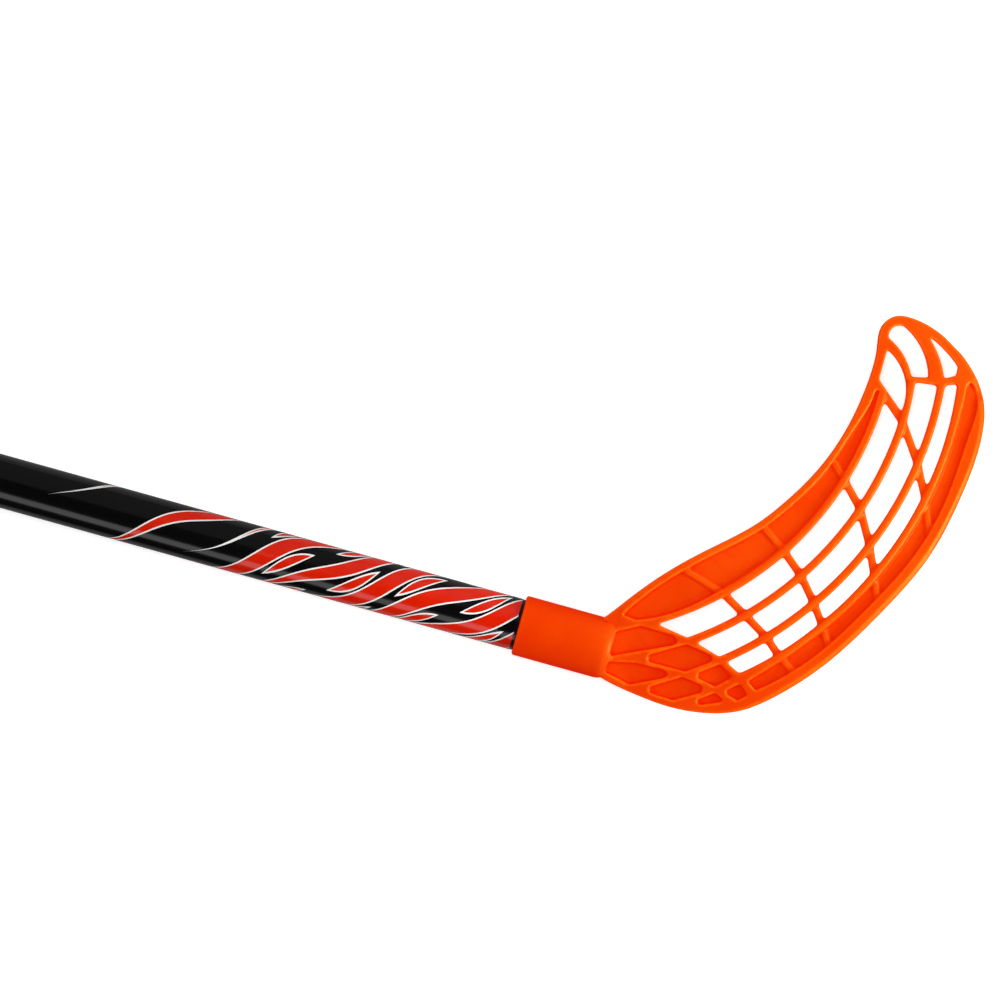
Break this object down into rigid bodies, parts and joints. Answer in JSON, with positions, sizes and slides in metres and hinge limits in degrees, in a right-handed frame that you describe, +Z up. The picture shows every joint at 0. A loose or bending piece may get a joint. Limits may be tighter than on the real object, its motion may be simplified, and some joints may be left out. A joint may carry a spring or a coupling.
{
  "type": "floorball stick",
  "caption": "Floorball stick with a slim round composite shaft, a wound grip and end cap, and a hooked, openwork plastic blade on a socket.",
  "frame": {"origin": "centre of the end cap's outer face, on the shaft's axis", "axes": "+X along the shaft from the butt to the blade, +Y in the floor's plane towards the blade's tip, +Z up from the floor that the stick lies on"},
  "size_m": [0.9969, 0.2028, 0.0282],
  "materials": {
    "lacquered_composite": "gloss black lacquer over glass fibre",
    "printed_film": "printed film under gloss lacquer, red and white on black",
    "grip_foam": "perforated soft polyurethane band, wound",
    "vinyl_tape": "satin vinyl tape",
    "cap_rubber": "matt moulded rubber",
    "blade_plastic": "moulded polyethylene, soft satin orange"
  },
  "bodies": {
    "shaft": {"shaft_tube": "lacquered_composite", "print_foil": "printed_film", "grip_band": "grip_foam", "finishing_tape": "vinyl_tape"},
    "blade": {"blade": "blade_plastic"},
    "end_cap": {"end_cap": "cap_rubber"}
  },
  "joints": [
    {"name": "blade_pull", "type": "slide", "parent": "shaft", "child": "blade", "axis": [1, 0, 0], "range_m": [0, 0.06]},
    {"name": "cap_pull", "type": "slide", "parent": "shaft", "child": "end_cap", "axis": [-1, 0, 0], "range_m": [0, 0.04]}
  ]
}
